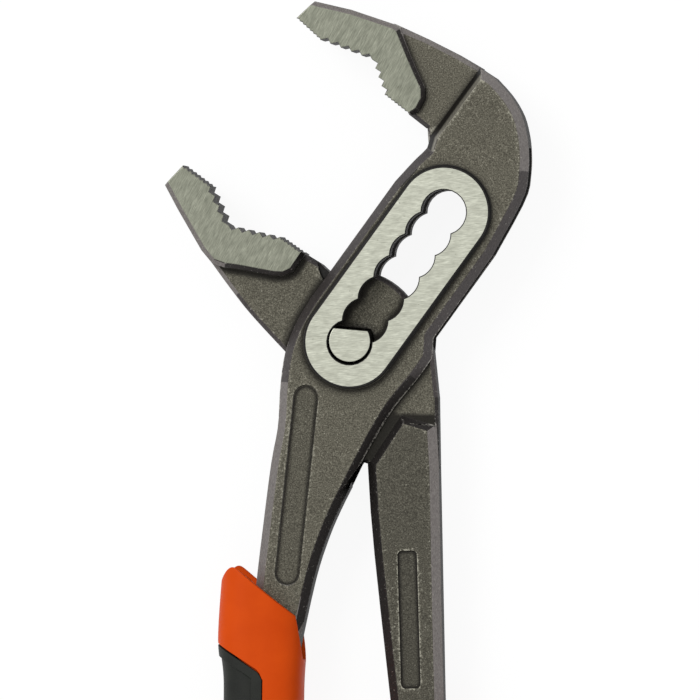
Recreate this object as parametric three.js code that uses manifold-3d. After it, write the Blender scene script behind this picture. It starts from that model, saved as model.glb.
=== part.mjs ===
// Water pump pliers with a through joint.
// The slotted lever carries the upper jaw and a box of two cheeks with a scalloped slot.
// The through lever carries the lower jaw and passes between the cheeks as a thin tongue.
// A round pivot shank sits in the tongue, and a D-shaped key on each end of it locks in a scallop.
// Each handle has a moulded sleeve with a softer pad let into its outer side.
// Millimetres, +Z up: the tool lies flat, jaws towards +Y, with the pivot on the Z axis.
import * as THREE from "three";
import { mergeVertices } from "three/addons/utils/BufferGeometryUtils.js";
import Module from "manifold-3d";

const wasm = await Module();
wasm.setup();

// Fits
const CLEARANCE = 0.3; // between neighbouring pieces
const WINDOW_CLEARANCE = 0.35; // between the tongue and each cheek
const PIVOT_PLAY = 0.3; // between a key and the notch that it sits in
const PIVOT_SIT = 0.2; // of the pivot above the middle of its notch

// Thicknesses, each measured from the mid-plane to one face
const RIM_HALF = 8.2; // ground rim round the slot, on which the tool lies
const CHEEK_HALF = 6.5; // forged face of the slotted lever beside the pivot
const CHEEK_TAPER = 0.028; // loss of that face for each millimetre towards the handle's end
const JAW_HALF = 6.0; // ground sides of both jaws
const NECK_HALF = 4.5; // sunk neck behind the upper jaw
const TONGUE_HALF = 3.4; // tongue and neck of the through lever
const BAR_HALF = 5.1; // handle bar of the through lever
const BAR_TAPER = 0.008; // loss of that face for each millimetre towards the handle's end

// Forged edges: width across the face and height down the side
const CHEEK_BEVEL = { width: 1.6, height: 2.4 };
const BAR_BEVEL = { width: 1.7, height: 2.0 };
const JAW_BEVEL = { width: 0.9, height: 0.9 };
const NECK_BEVEL = { width: 0.9, height: 1.0 };
const TONGUE_BEVEL = { width: 0.8, height: 0.7 };
const RIM_BEVEL = { width: 0.25, height: 0.25 };

// Scalloped slot
const SLOT_ANGLE = THREE.MathUtils.degToRad(54);
const NOTCH_COUNT = 7;
const NOTCH_PITCH = 5.15;
const RIM_LAND = 4.65; // ground land between a notch and the rim's outer edge
const CHEEK_LEFT = 11.2; // edge of the box from the slot's centre line
const CHEEK_RIGHT = 12.4;

// Pivot
const KEY_RADIUS = 4.0;
const KEY_FLAT = 2.25; // from the pivot axis to the key's flat
const KEY_FLAT_ANGLE = THREE.MathUtils.degToRad(85); // where the flat faces at rest
const KEY_SEAT = 1.0; // depth of each key in the tongue
const SHANK_RADIUS = 1.9; // its bore stays behind the flats of the keys
const TONGUE_RADIUS = 13.7; // round end of the tongue
const TONGUE_BACK = 10.8; // tongue behind the pivot
const TONGUE_SWEEP = 1.2; // free way in front of the tongue when it turns in the box
const RELIEF_DEPTH = 0.8; // round hollow in the neck beside the box
const RELIEF_RADIUS = 9.6;

// Teeth
const COARSE_DEPTH = 0.8;
const COARSE_LEAN = 0.58; // place of a valley along its pitch
const FINE_DEPTH = 0.28;
const FINE_LEAN = 0.5;

// Shallow pockets in the handles
const POCKET_DEPTH = 0.5;
const POCKET_RADIUS = 2.35;
const PANEL_DEPTH = 0.35;
const PANEL_WIDTH = 3.8;
const PANEL_LENGTH = 26.6;
const PANEL_CORNER = 0.9;

// Grips
const GRIP_LENGTH = 108; // from the mouth's middle to the end
const GRIP_COLLAR = 6; // outer side of the mouth above its middle
const GRIP_BULGE = 8.5; // half widths along the grip
const GRIP_WAIST = 7.9;
const GRIP_PALM = 8.7;
const GRIP_END = 8.1;
const GRIP_SQUARENESS = 3.0; // exponent of the rounded section
const GRIP_TIP = 11; // length that closes to the rounded end
const PAD_THICKNESS = 1.8;
const BAR_END = 13.5; // end of the full bar below the mouth's middle, inside the sleeve
const TANG_START = 11; // below the mouth's middle, inside the end of the bar
const TANG_STOP = 14; // from the tang's end to the grip's end
const TANG_ROOT = 4.4; // half width where the tang leaves the bar
const TANG_TIP = 2.9;
const TANG_HALF = 4.4; // half thickness at the mouth
const TANG_TAPER = 0.014; // loss of that half thickness for each millimetre
const SLOTTED_MOUTH = { x: -12.7, y: -48.5, turn: 0 };
const THROUGH_MOUTH = { x: 13.6, y: -77, turn: THREE.MathUtils.degToRad(2.5) };

// Worked out from the sizes above
const NOTCH_RADIUS = KEY_RADIUS + PIVOT_PLAY;
const RIM_RADIUS = NOTCH_RADIUS + RIM_LAND;
const WINDOW_HALF = TONGUE_HALF + WINDOW_CLEARANCE;
const SLOT_TRAVEL = (NOTCH_COUNT - 1) * NOTCH_PITCH;
const TANG_LENGTH = GRIP_LENGTH - TANG_STOP;
const BEYOND = 60; // reach of cutters past the piece that they cut

const vec = (x, y) => new THREE.Vector2(x, y);

// A point by its distance along the slot and across it, to the right.
function slotPoint(along, across = 0) {
  const c = Math.cos(SLOT_ANGLE);
  const s = Math.sin(SLOT_ANGLE);
  return vec(along * c + across * s, along * s - across * c);
}

// A point of the head, from a datum at the slot's upper end, so that a longer slot carries the head along.
const headDatum = slotPoint(SLOT_TRAVEL, -0.37);
const head = (x, y) => vec(headDatum.x + x, headDatum.y + y);

// Solids

function solidOf(geometry) {
  const loose = geometry.index ? geometry.toNonIndexed() : geometry;
  const bare = new THREE.BufferGeometry();
  bare.setAttribute("position", loose.getAttribute("position"));
  const merged = mergeVertices(bare, 1e-4);
  const vertProperties = new Float32Array(merged.attributes.position.array);
  const triVerts = new Uint32Array(merged.index.array);
  return new wasm.Manifold(new wasm.Mesh({ numProp: 3, vertProperties, triVerts }));
}

function geometryOf(solid) {
  const mesh = solid.getMesh();
  const geometry = new THREE.BufferGeometry();
  geometry.setAttribute("position", new THREE.BufferAttribute(mesh.vertProperties, 3));
  geometry.setIndex(new THREE.BufferAttribute(mesh.triVerts, 1));
  geometry.computeVertexNormals();
  return geometry;
}

const join = (...solids) => solids.reduce((whole, next) => whole.add(next));

// A plate of the given half thickness about the mid-plane, with bevelled edges on both faces.
function slabGeometry(shape, half, bevel = { width: 0, height: 0 }, curveSegments = 3) {
  const wall = 2 * (half - bevel.height);
  const geometry = new THREE.ExtrudeGeometry(shape, {
    depth: wall,
    curveSegments,
    bevelEnabled: bevel.width > 0,
    bevelThickness: bevel.height,
    bevelSize: bevel.width,
    bevelOffset: -bevel.width,
    bevelSegments: 1,
  });
  return geometry.translate(0, 0, -wall / 2);
}

const slab = (...sizes) => solidOf(slabGeometry(...sizes));

// Thins a plate evenly towards -Y, from its full thickness at y = 0.
function thinned(geometry, half, taper) {
  const at = geometry.getAttribute("position");
  for (let i = 0; i < at.count; i++) {
    at.setZ(i, at.getZ(i) * (1 + (taper / half) * at.getY(i)));
  }
  return geometry;
}

function polygon(points) {
  return new THREE.Shape(points);
}

function obround(from, to, radius) {
  const angle = Math.atan2(to.y - from.y, to.x - from.x);
  const shape = new THREE.Shape();
  shape.absarc(to.x, to.y, radius, angle - Math.PI / 2, angle + Math.PI / 2, false);
  shape.absarc(from.x, from.y, radius, angle + Math.PI / 2, angle + (3 * Math.PI) / 2, false);
  return shape;
}

// Both faces cut by a tool that is sunk to a depth below the face of a thinned plate.
function facePocket(shape, half, taper, depth) {
  const cutter = (side) => {
    const block = new THREE.ExtrudeGeometry(shape, {
      depth: BEYOND,
      bevelEnabled: false,
      curveSegments: 6,
    });
    block.translate(0, 0, half - depth);
    const solid = solidOf(thinned(block, half, taper));
    return side > 0 ? solid : solid.mirror([0, 0, 1]);
  };
  return join(cutter(1), cutter(-1));
}

// Teeth from one point to the next: each crest on the line, each valley sunk to its left.
function toothed(from, to, count, depth, lean) {
  const run = to.clone().sub(from);
  const inward = vec(-run.y, run.x).normalize().multiplyScalar(depth);
  const points = [];
  for (let i = 0; i < count; i++) {
    points.push(from.clone().addScaledVector(run, i / count));
    points.push(from.clone().addScaledVector(run, (i + lean) / count).add(inward));
  }
  return points;
}

function bitingEdge(start, zones) {
  const points = [];
  let from = start;
  for (const zone of zones) {
    const depth = zone.coarse ? COARSE_DEPTH : FINE_DEPTH;
    const lean = zone.coarse ? COARSE_LEAN : FINE_LEAN;
    points.push(...toothed(from, zone.to, zone.teeth, depth, lean));
    from = zone.to;
  }
  points.push(from);
  return points;
}

// Slot and pivot

// The middle of a notch, a little below the place that the pivot takes in it.
function notchCentre(index) {
  return slotPoint(index * NOTCH_PITCH).sub(vec(0, PIVOT_SIT));
}

function slotShape() {
  const shape = new THREE.Shape();
  const reach = Math.acos(NOTCH_PITCH / 2 / NOTCH_RADIUS);
  const arc = (index, from, to) => {
    const centre = notchCentre(index);
    shape.absarc(centre.x, centre.y, NOTCH_RADIUS, SLOT_ANGLE + from, SLOT_ANGLE + to, false);
  };
  const last = NOTCH_COUNT - 1;
  for (let i = 1; i < last; i++) {
    arc(i, -Math.PI + reach, -reach);
  }
  arc(last, -Math.PI + reach, Math.PI - reach);
  for (let i = last - 1; i > 0; i--) {
    arc(i, reach, Math.PI - reach);
  }
  arc(0, reach, 2 * Math.PI - reach);
  return shape;
}

// The key's section: a circle with one flat, grown by a clearance.
function keyShape(growth = 0) {
  const radius = KEY_RADIUS + growth;
  const half = Math.acos((KEY_FLAT + growth) / radius);
  const shape = new THREE.Shape();
  shape.absarc(0, 0, radius, KEY_FLAT_ANGLE + half, KEY_FLAT_ANGLE + 2 * Math.PI - half, false);
  return shape;
}

function circleShape(radius) {
  const shape = new THREE.Shape();
  shape.absarc(0, 0, radius, 0, 2 * Math.PI, false);
  return shape;
}

const KEY_INNER = TONGUE_HALF - KEY_SEAT; // where a key's inner end lies
const KEY_LENGTH = RIM_HALF - KEY_INNER;
const KEY_SEGMENTS = 22;

function keyGeometry(face) {
  const geometry = new THREE.ExtrudeGeometry(keyShape(), {
    depth: KEY_LENGTH,
    bevelEnabled: false,
    curveSegments: KEY_SEGMENTS,
  });
  return geometry.translate(0, 0, face > 0 ? KEY_INNER : -KEY_INNER - KEY_LENGTH);
}

function shankGeometry() {
  return slabGeometry(circleShape(SHANK_RADIUS), KEY_INNER - CLEARANCE, undefined, 12);
}

// Slotted lever

// Box and handle bar in one forged outline, grown by a clearance where it is used as a cutter.
function slottedBlank(growth = 0) {
  const left = (x, y) => vec(x - growth, y);
  const right = (x, y) => vec(x + growth, y);
  const mouth = SLOTTED_MOUTH;
  const shape = new THREE.Shape();
  const throat = head(-3.2, 11.8);
  const boxTop = slotPoint(SLOT_TRAVEL - 1, -CHEEK_LEFT);
  const boxFoot = slotPoint(2, -CHEEK_LEFT);
  shape.moveTo(throat.x, throat.y);
  shape.splineThru([head(-5.6, 9.6), boxTop]);
  shape.lineTo(boxFoot.x, boxFoot.y);
  shape.splineThru([
    vec(-10.8, 3.3),
    vec(-12.7, -1.9),
    vec(-13.7, -8.4),
    vec(-14.2, -16.3),
    vec(-15.6, -24),
    left(-17.5, -38.7),
    left(mouth.x - 5.8, mouth.y + 1.5),
  ]);
  const foot = [left(mouth.x - 7.5, mouth.y - BAR_END), right(mouth.x + 1.9, mouth.y - BAR_END)];
  foot.forEach((p) => shape.lineTo(p.x, p.y - growth));
  const corner = slotPoint(10, CHEEK_RIGHT);
  const shoulder = slotPoint(SLOT_TRAVEL - 1.5, CHEEK_RIGHT);
  shape.splineThru([
    right(mouth.x + 5.2, mouth.y + 1.8),
    right(-5, -38.6),
    vec(-2.3, -32.2),
    vec(2.1, -23.5),
  ]);
  shape.splineThru([vec(5.3, -17.6), vec(8.3, -12.8), vec(12.9, -7.1), vec(15.6, -3.3)]);
  shape.lineTo(corner.x, corner.y);
  shape.lineTo(shoulder.x, shoulder.y);
  shape.splineThru([
    head(15.3, 2.1),
    head(16.4, 7.2),
    head(16.5, 11.3),
    head(16.1, 14.8),
    head(15.1, 18.4),
    head(13, 22),
    head(10, 25.4),
  ]);
  [head(7.1, 27.3), head(-2.4, 14.4)].forEach((p) => shape.lineTo(p.x, p.y));
  const geometry = slabGeometry(shape, CHEEK_HALF + growth, CHEEK_BEVEL, 3);
  return solidOf(thinned(geometry, CHEEK_HALF, CHEEK_TAPER));
}

function upperJaw() {
  const tip = head(-28.3, 37);
  const tipCorner = head(-24.8, 40.3);
  const heel = head(-6.7, 18.6);
  const teeth = bitingEdge(tip, [
    { to: head(-23.7, 32.8), teeth: 7, coarse: false },
    { to: head(-13.7, 29), teeth: 5, coarse: true },
    { to: head(-11.3, 22.2), teeth: 4, coarse: true },
    { to: heel, teeth: 7, coarse: false },
  ]);
  const tipLine = tip.clone().lerp(tipCorner, 7);
  const bite = slab(polygon([...teeth, head(12, 12), vec(head(12, 0).x, tipLine.y), tipLine]), BEYOND);
  const face = polygon([
    head(-6.3, 18),
    head(-4.6, 19.1),
    head(-3.4, 21.4),
    head(-3.4, 23.5),
    head(-5.8, 28.8),
    head(-8.3, 35),
    head(-9.4, 35.8),
    head(-17.7, 38.6),
    head(-26.6, 40.7),
    head(-33, 36),
    head(-18, 18),
  ]);
  const neck = polygon([
    head(-3.2, 12.2),
    head(8, 14),
    head(9.6, 22),
    head(7.4, 27.3),
    head(2.8, 30),
    head(-3.3, 33.1),
    head(-9.4, 35.7),
    head(-14, 34),
    head(-9, 24),
    head(-6.7, 18.4),
    head(-3.5, 15.9),
  ]);
  return join(slab(face, JAW_HALF, JAW_BEVEL).intersect(bite), slab(neck, NECK_HALF, NECK_BEVEL));
}

// The gap between the cheeks, open to both sides, with a wall above and below.
function windowCut() {
  const slope = THREE.MathUtils.degToRad(-10.9);
  const wall = (along) => {
    const point = vec(along, TONGUE_RADIUS + TONGUE_SWEEP).rotateAround(vec(0, 0), slope);
    return head(point.x, point.y);
  };
  const wallRight = wall(17.2);
  const wallLeft = wall(-8.2);
  const floor = -TONGUE_BACK - 2.3;
  return slab(
    polygon([
      vec(-BEYOND, floor),
      vec(-2.8, floor),
      vec(-1.6, floor - 1.2),
      vec(-0.3, -28.2),
      vec(BEYOND, -28.2),
      vec(BEYOND, wallRight.y),
      wallRight,
      wallLeft,
      vec(-BEYOND, wallLeft.y),
    ]),
    WINDOW_HALF,
  );
}

function slottedLever() {
  const rim = slab(obround(notchCentre(0), notchCentre(NOTCH_COUNT - 1), RIM_RADIUS), RIM_HALF, RIM_BEVEL, 22);
  const pocketShape = obround(vec(-8.6, -10.8), vec(-12.3, -44.7), POCKET_RADIUS);
  const pocket = facePocket(pocketShape, CHEEK_HALF, CHEEK_TAPER, POCKET_DEPTH);
  return join(slottedBlank(), upperJaw(), rim, tang(SLOTTED_MOUTH, 1))
    .subtract(slab(slotShape(), BEYOND, undefined, 9))
    .subtract(windowCut())
    .subtract(pocket);
}

// Through lever

function tonguePlate() {
  const shape = new THREE.Shape();
  const start = THREE.MathUtils.degToRad(20);
  const end = THREE.MathUtils.degToRad(107);
  const backStart = THREE.MathUtils.degToRad(195);
  const backEnd = THREE.MathUtils.degToRad(285);
  shape.moveTo(16.9, -24);
  shape.lineTo(16.7, -10.8);
  shape.lineTo(15.8, -2);
  shape.absarc(0, 0, TONGUE_RADIUS, start, end, false);
  [vec(-5.7, 14.7), vec(-9.6, 17.1), vec(-14, 17), vec(-27, 21), vec(-28.1, 16.7)].forEach((p) =>
    shape.lineTo(p.x, p.y),
  );
  shape.splineThru([vec(-26.9, 14.8), vec(-20.4, 6.2), vec(-12.9, -2)]);
  shape.absarc(0, 0, TONGUE_BACK, backStart, backEnd, false);
  [vec(1.3, -16), vec(1.8, -23.2), vec(6.2, -24.6)].forEach((p) => shape.lineTo(p.x, p.y));
  return slab(shape, TONGUE_HALF, TONGUE_BEVEL, 7);
}

function lowerJaw() {
  const tip = vec(-32.4, 33.9);
  const tipCorner = vec(-36, 30.1);
  const heel = vec(-9.5, 17.2);
  const teeth = bitingEdge(heel, [
    { to: vec(-13.6, 20.1), teeth: 6, coarse: false },
    { to: vec(-23.6, 22.4), teeth: 5, coarse: true },
    { to: vec(-27, 29.9), teeth: 4, coarse: true },
    { to: tip, teeth: 7, coarse: false },
  ]);
  const tipLine = tip.clone().lerp(tipCorner, 5);
  const bite = slab(polygon([...teeth, tipLine, vec(-30, -20), vec(-4, 0), vec(-4, 13.6)]), BEYOND);
  const face = polygon([
    vec(-8.7, 16.9),
    vec(-6, 24),
    vec(-20, 32),
    vec(-31, 39),
    vec(-37.1, 32.1),
    vec(-33.3, 25.1),
    vec(-28.9, 17.5),
    vec(-26.9, 15.1),
    vec(-24.4, 14.2),
    vec(-22, 13.9),
    vec(-15, 12.6),
    vec(-13, 12.5),
    vec(-11.2, 13.3),
  ]);
  return slab(face, JAW_HALF, JAW_BEVEL).intersect(bite);
}

function throughBar(growth = 0) {
  const left = (x, y) => vec(x - growth, y);
  const right = (x, y) => vec(x + growth, y);
  const mouth = THROUGH_MOUTH;
  const foot = mouth.y - BAR_END;
  const shape = new THREE.Shape();
  shape.moveTo(9.4, -13.9);
  shape.lineTo(3.1, -23.5);
  shape.splineThru([vec(4.1, -38.2), left(mouth.x - 6.6, mouth.y + 12), left(mouth.x - 5.3, mouth.y + 1)]);
  [left(mouth.x - 1.8, foot), right(mouth.x + 7.9, foot)].forEach((p) => shape.lineTo(p.x, p.y - growth));
  shape.splineThru([right(mouth.x + 4.8, mouth.y + 1), right(mouth.x + 4.1, mouth.y + 12), vec(16.9, -24.7)]);
  shape.lineTo(16.4, -16);
  const geometry = slabGeometry(shape, BAR_HALF + growth, BAR_BEVEL, 2);
  return solidOf(thinned(geometry, BAR_HALF, BAR_TAPER));
}

function barPanel() {
  const shape = new THREE.Shape();
  const x = PANEL_WIDTH / 2 - PANEL_CORNER;
  const y = PANEL_LENGTH / 2 - PANEL_CORNER;
  const right = Math.PI / 2;
  shape.absarc(x, y, PANEL_CORNER, 0, right, false);
  shape.absarc(-x, y, PANEL_CORNER, right, 2 * right, false);
  shape.absarc(-x, -y, PANEL_CORNER, 2 * right, 3 * right, false);
  shape.absarc(x, -y, PANEL_CORNER, 3 * right, 4 * right, false);
  const centre = vec(THROUGH_MOUTH.x - 2.4, THROUGH_MOUTH.y + 23.4);
  const lean = THREE.MathUtils.degToRad(1.6);
  const points = shape.getPoints(3).map((p) => p.rotateAround(vec(0, 0), lean).add(centre));
  return facePocket(polygon(points), BAR_HALF, BAR_TAPER, PANEL_DEPTH);
}

// A shallow round hollow on both faces where the neck runs in under the cheek.
function neckRelief() {
  const shape = new THREE.Shape();
  const from = THREE.MathUtils.degToRad(125);
  const to = THREE.MathUtils.degToRad(250);
  shape.absarc(2.8, 16.8, RELIEF_RADIUS, from, to, false);
  return slab(shape, BEYOND, undefined, 6).subtract(slab(shape, TONGUE_HALF - RELIEF_DEPTH, undefined, 6));
}

function throughLever() {
  const bore = slab(circleShape(SHANK_RADIUS + CLEARANCE), KEY_INNER, undefined, 12);
  const seats = [1, -1].map((face) => {
    const seat = new THREE.ExtrudeGeometry(keyShape(CLEARANCE), {
      depth: BEYOND,
      bevelEnabled: false,
      curveSegments: KEY_SEGMENTS,
    });
    const inner = KEY_INNER - CLEARANCE;
    return solidOf(seat.translate(0, 0, face > 0 ? inner : -inner - BEYOND));
  });
  return join(tonguePlate(), lowerJaw(), throughBar(), tang(THROUGH_MOUTH, -1))
    .subtract(bore)
    .subtract(seats[0])
    .subtract(seats[1])
    .subtract(neckRelief())
    .subtract(barPanel());
}

// Grips, worked out once for the slotted lever's handle and mirrored for the other

function place(solid, mouth, side) {
  const matrix = new THREE.Matrix4()
    .makeTranslation(mouth.x, mouth.y, 0)
    .multiply(new THREE.Matrix4().makeRotationZ(mouth.turn))
    .multiply(new THREE.Matrix4().makeScale(side, 1, 1));
  return solid.transform(matrix.elements);
}

// The end of the lever that the sleeve is moulded round.
function tang(mouth, side, growth = 0) {
  const centre = new THREE.SplineCurve([
    vec(-2.3, -TANG_START),
    vec(-4.6, -0.28 * TANG_LENGTH),
    vec(-6.5, -0.53 * TANG_LENGTH),
    vec(-7.7, -TANG_LENGTH),
  ]);
  const steps = 7;
  const edge = (direction) =>
    Array.from({ length: steps + 1 }, (_, i) => {
      const share = i / steps;
      const point = centre.getPoint(share);
      const half = THREE.MathUtils.lerp(TANG_ROOT, TANG_TIP, share) + growth;
      return vec(point.x + direction * half, point.y - (i === steps ? growth : 0));
    });
  const shape = polygon([...edge(-1), ...edge(1).reverse()]);
  const geometry = slabGeometry(shape, TANG_HALF + growth);
  return place(solidOf(thinned(geometry, TANG_HALF, TANG_TAPER)), mouth, side);
}

// Centre line and half width of the grip, from its collar to its end.
const GRIP_LINE = new THREE.SplineCurve([
  vec(-4.6, GRIP_COLLAR),
  vec(-4.8, -8.5),
  vec(-4.7, -18),
  vec(-5.2, -35),
  vec(-7.2, -0.55 * GRIP_LENGTH),
  vec(-8.2, -0.8 * GRIP_LENGTH),
  vec(-8.0, -GRIP_LENGTH),
]);
const GRIP_WIDTHS = new THREE.SplineCurve(
  [7.7, GRIP_BULGE, GRIP_WAIST, 8.1, GRIP_PALM, GRIP_PALM, GRIP_END].map((half, i) => vec(i, half)),
);
const GRIP_STEPS = 20;
const GRIP_SIDES = 24;
const TIP_SHARE = GRIP_TIP / (GRIP_LENGTH + GRIP_COLLAR);
const TIP_FLAT = 0.42; // width of the flat left at the very end, as a share of the grip's

// A swept body of the grip, drawn in by an inset.
function gripBody(inset = 0) {
  const power = 2 / GRIP_SQUARENESS;
  const bend = (v) => Math.sign(v) * Math.abs(v) ** power;
  const section = Array.from({ length: GRIP_SIDES }, (_, i) => {
    const angle = ((i + 0.5) / GRIP_SIDES) * 2 * Math.PI;
    return vec(bend(Math.cos(angle)), bend(Math.sin(angle)));
  });
  const geometry = new THREE.ExtrudeGeometry(polygon(section), {
    depth: 1,
    steps: GRIP_STEPS,
    bevelEnabled: false,
  });
  const at = geometry.getAttribute("position");
  for (let i = 0; i < at.count; i++) {
    const share = at.getZ(i);
    const tip = Math.max(0, (share - 1 + TIP_SHARE) / TIP_SHARE);
    const closing = Math.sqrt(1 - (1 - TIP_FLAT ** 2) * tip ** 2);
    const centre = GRIP_LINE.getPoint(share);
    const along = GRIP_LINE.getTangent(share);
    const half = (GRIP_WIDTHS.getPoint(share).y - inset) * closing;
    const thick = (RIM_HALF - inset) * closing ** 0.6;
    const across = at.getX(i) * half;
    at.setXYZ(i, centre.x - along.y * across, centre.y + along.x * across, at.getY(i) * thick);
  }
  return solidOf(geometry);
}

// What is taken off above the slanting mouth.
function mouthCut() {
  const shape = new THREE.Shape();
  const notch = -BAR_END + 1;
  shape.moveTo(-10.9, 5.2);
  shape.lineTo(1.4, -4.6);
  shape.quadraticCurveTo(3.2, -6.2, 3.6, notch);
  shape.lineTo(BEYOND, notch);
  shape.lineTo(BEYOND, BEYOND);
  shape.lineTo(-BEYOND, BEYOND);
  shape.lineTo(-BEYOND, GRIP_COLLAR);
  return slab(shape, BEYOND, undefined, 4);
}

// The outer half of the grip, where the pad lies.
function padRegion(growth = 0) {
  const split = [0.42, 0.52, 0.62, 0.74, 0.84].map((share) => GRIP_LINE.getPoint(share));
  const shape = new THREE.Shape();
  shape.moveTo(-BEYOND, growth - 8);
  shape.lineTo(-14.5, growth - 8);
  shape.lineTo(-5.4, growth - 15.2);
  shape.quadraticCurveTo(-3.9 + growth, -16.3, -3.9 + growth, -19);
  split.forEach((p) => shape.lineTo(p.x + growth, p.y));
  const foot = split.at(-1).y;
  shape.quadraticCurveTo(split.at(-1).x + growth, foot - 3, split.at(-1).x - 2, foot - 4 - growth);
  shape.lineTo(-BEYOND, foot - 9 - growth);
  return slab(shape, BEYOND, undefined, 3);
}

function gripPad(mouth, side) {
  return place(gripBody().intersect(padRegion()).subtract(gripBody(PAD_THICKNESS)), mouth, side);
}

function gripSleeve(mouth, side, bar) {
  const recess = padRegion(CLEARANCE).subtract(gripBody(PAD_THICKNESS + CLEARANCE));
  const sleeve = gripBody().subtract(mouthCut()).subtract(recess);
  return place(sleeve, mouth, side).subtract(bar).subtract(tang(mouth, side, CLEARANCE));
}

// Assembly

const finish = (color, roughness, metalness) =>
  new THREE.MeshStandardMaterial({ color, roughness, metalness, flatShading: true });

function piece(name, geometry, material) {
  const mesh = new THREE.Mesh(geometry, material);
  mesh.name = name;
  return mesh;
}

const slottedSide = new THREE.Group();
slottedSide.add(
  piece("slotted_lever", geometryOf(slottedLever()), finish(0x5c5a50, 0.6, 0.9)),
  piece(
    "slotted_grip_sleeve",
    geometryOf(gripSleeve(SLOTTED_MOUTH, 1, slottedBlank(CLEARANCE))),
    finish(0xf0501e, 0.45, 0),
  ),
  piece("slotted_grip_pad", geometryOf(gripPad(SLOTTED_MOUTH, 1)), finish(0x3a3b3d, 0.7, 0)),
);

const throughSide = new THREE.Group();
throughSide.add(
  piece("through_lever", geometryOf(throughLever()), finish(0x5c5a50, 0.6, 0.9)),
  piece("front_pivot_key", keyGeometry(1), finish(0xb9bbb2, 0.35, 1)),
  piece("rear_pivot_key", keyGeometry(-1), finish(0xb9bbb2, 0.35, 1)),
  piece(
    "through_grip_sleeve",
    geometryOf(gripSleeve(THROUGH_MOUTH, -1, throughBar(CLEARANCE))),
    finish(0xf0501e, 0.45, 0),
  ),
  piece("through_grip_pad", geometryOf(gripPad(THROUGH_MOUTH, -1)), finish(0x3a3b3d, 0.7, 0)),
);

const pliers = new THREE.Group();
pliers.add(slottedSide, throughSide);
pliers.add(piece("pivot_shank", shankGeometry(), finish(0x8d8f8a, 0.4, 1)));
pliers.position.z = RIM_HALF; // the mid-plane stands this far above the table

export default pliers;
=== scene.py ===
# %% [markdown]
# Water pump pliers, dressed for a picture.
# The tool is two forged levers that cross in a box, a keyed pivot, and a moulded grip on each handle.
# The measured solids come in first and stay where they are. Every finished piece is modelled on top of
# them, at their places, in metres. The levers and keys start as copies of their solids, which keeps the
# measured outlines. The grips are modelled afresh, because they are round all over.

# %% Load the measured solids
import math

import bmesh
import bpy
from mathutils import Matrix, Vector


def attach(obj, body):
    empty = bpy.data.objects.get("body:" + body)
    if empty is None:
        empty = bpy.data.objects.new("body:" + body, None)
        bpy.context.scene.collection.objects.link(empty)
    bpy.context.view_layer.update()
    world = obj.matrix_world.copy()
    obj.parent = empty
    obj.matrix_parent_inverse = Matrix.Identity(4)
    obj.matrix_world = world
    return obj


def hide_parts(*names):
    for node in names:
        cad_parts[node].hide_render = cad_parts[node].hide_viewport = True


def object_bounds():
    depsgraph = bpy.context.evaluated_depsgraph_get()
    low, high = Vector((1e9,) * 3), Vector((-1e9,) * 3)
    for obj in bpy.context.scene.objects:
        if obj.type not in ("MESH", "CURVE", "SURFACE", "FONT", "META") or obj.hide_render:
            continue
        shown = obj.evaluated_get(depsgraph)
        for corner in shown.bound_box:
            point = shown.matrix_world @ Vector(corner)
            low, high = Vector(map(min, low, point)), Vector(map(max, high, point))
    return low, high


MM = 0.001
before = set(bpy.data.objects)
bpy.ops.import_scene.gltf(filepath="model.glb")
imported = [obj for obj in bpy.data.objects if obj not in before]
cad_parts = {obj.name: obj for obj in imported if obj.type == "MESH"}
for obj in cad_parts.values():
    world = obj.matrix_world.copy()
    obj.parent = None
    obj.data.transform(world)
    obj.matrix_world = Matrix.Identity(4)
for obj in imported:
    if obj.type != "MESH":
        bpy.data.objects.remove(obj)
cad_low, cad_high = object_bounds()
MID_PLANE = (cad_low.z + cad_high.z) / 2
HALF_THICKNESS = (cad_high.z - cad_low.z) / 2
print("solids:", sorted(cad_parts))
print("half thickness in mm:", round(HALF_THICKNESS / MM, 2))

# %% [markdown]
# The picture looks straight down on the tool as it lies on a table, with the jaws at the top.
# The camera stands a little to the right of the middle, which is why the right-hand walls of the slot
# and of the handle show as dark strips. A camera that looks straight down could get them from a lens
# shift, but a long lens from two metres keeps the outlines true, so a small turn about Y is enough.

# %% Camera
CAMERA_DISTANCE = 2.0
CAMERA_LEAN = math.radians(4.6)
FRAME_WIDTH = 134.6 * MM
FRAME_CENTRE = Vector((0.1 * MM, -1.7 * MM, cad_high.z))
SENSOR = 36.0
NEAREST_SEEN = 0.01

camera_data = bpy.data.cameras.new("camera")
camera_data.sensor_width = SENSOR
camera_data.lens = SENSOR * CAMERA_DISTANCE / FRAME_WIDTH
camera_data.clip_start = NEAREST_SEEN
camera = bpy.data.objects.new("camera", camera_data)
camera.rotation_euler = (0, CAMERA_LEAN, 0)
towards_camera = Vector((math.sin(CAMERA_LEAN), 0, math.cos(CAMERA_LEAN)))
camera.location = FRAME_CENTRE + towards_camera * CAMERA_DISTANCE
bpy.context.collection.objects.link(camera)
bpy.context.scene.camera = camera
print("lens in mm:", round(camera_data.lens, 1))

# %% [markdown]
# Materials are node trees. Pictures wrapped round the pieces would also do, but patterns made by nodes
# need no unwrapping and stay sharp from close by. A few small helpers add nodes and feed their sockets,
# so that each finish below reads as a short recipe.

# %% Node helpers
def linear(red, green, blue):
    """A colour picked on a screen from 0 to 255, as the linear values that a shader works in."""
    def channel(value):
        share = value / 255
        return share / 12.92 if share <= 0.04045 else ((share + 0.055) / 1.055) ** 2.4

    return (channel(red), channel(green), channel(blue), 1.0)


def join(tree, value, socket):
    """Feeds a socket with a plain value, or with a link from another node."""
    if isinstance(value, bpy.types.NodeSocket):
        tree.links.new(value, socket)
    else:
        socket.default_value = value


def feed(tree, target, **sockets):
    """Feeds a node's sockets by their names, with an underscore for each space."""
    for name, value in sockets.items():
        join(tree, value, target.inputs[name.replace("_", " ")])


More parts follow.
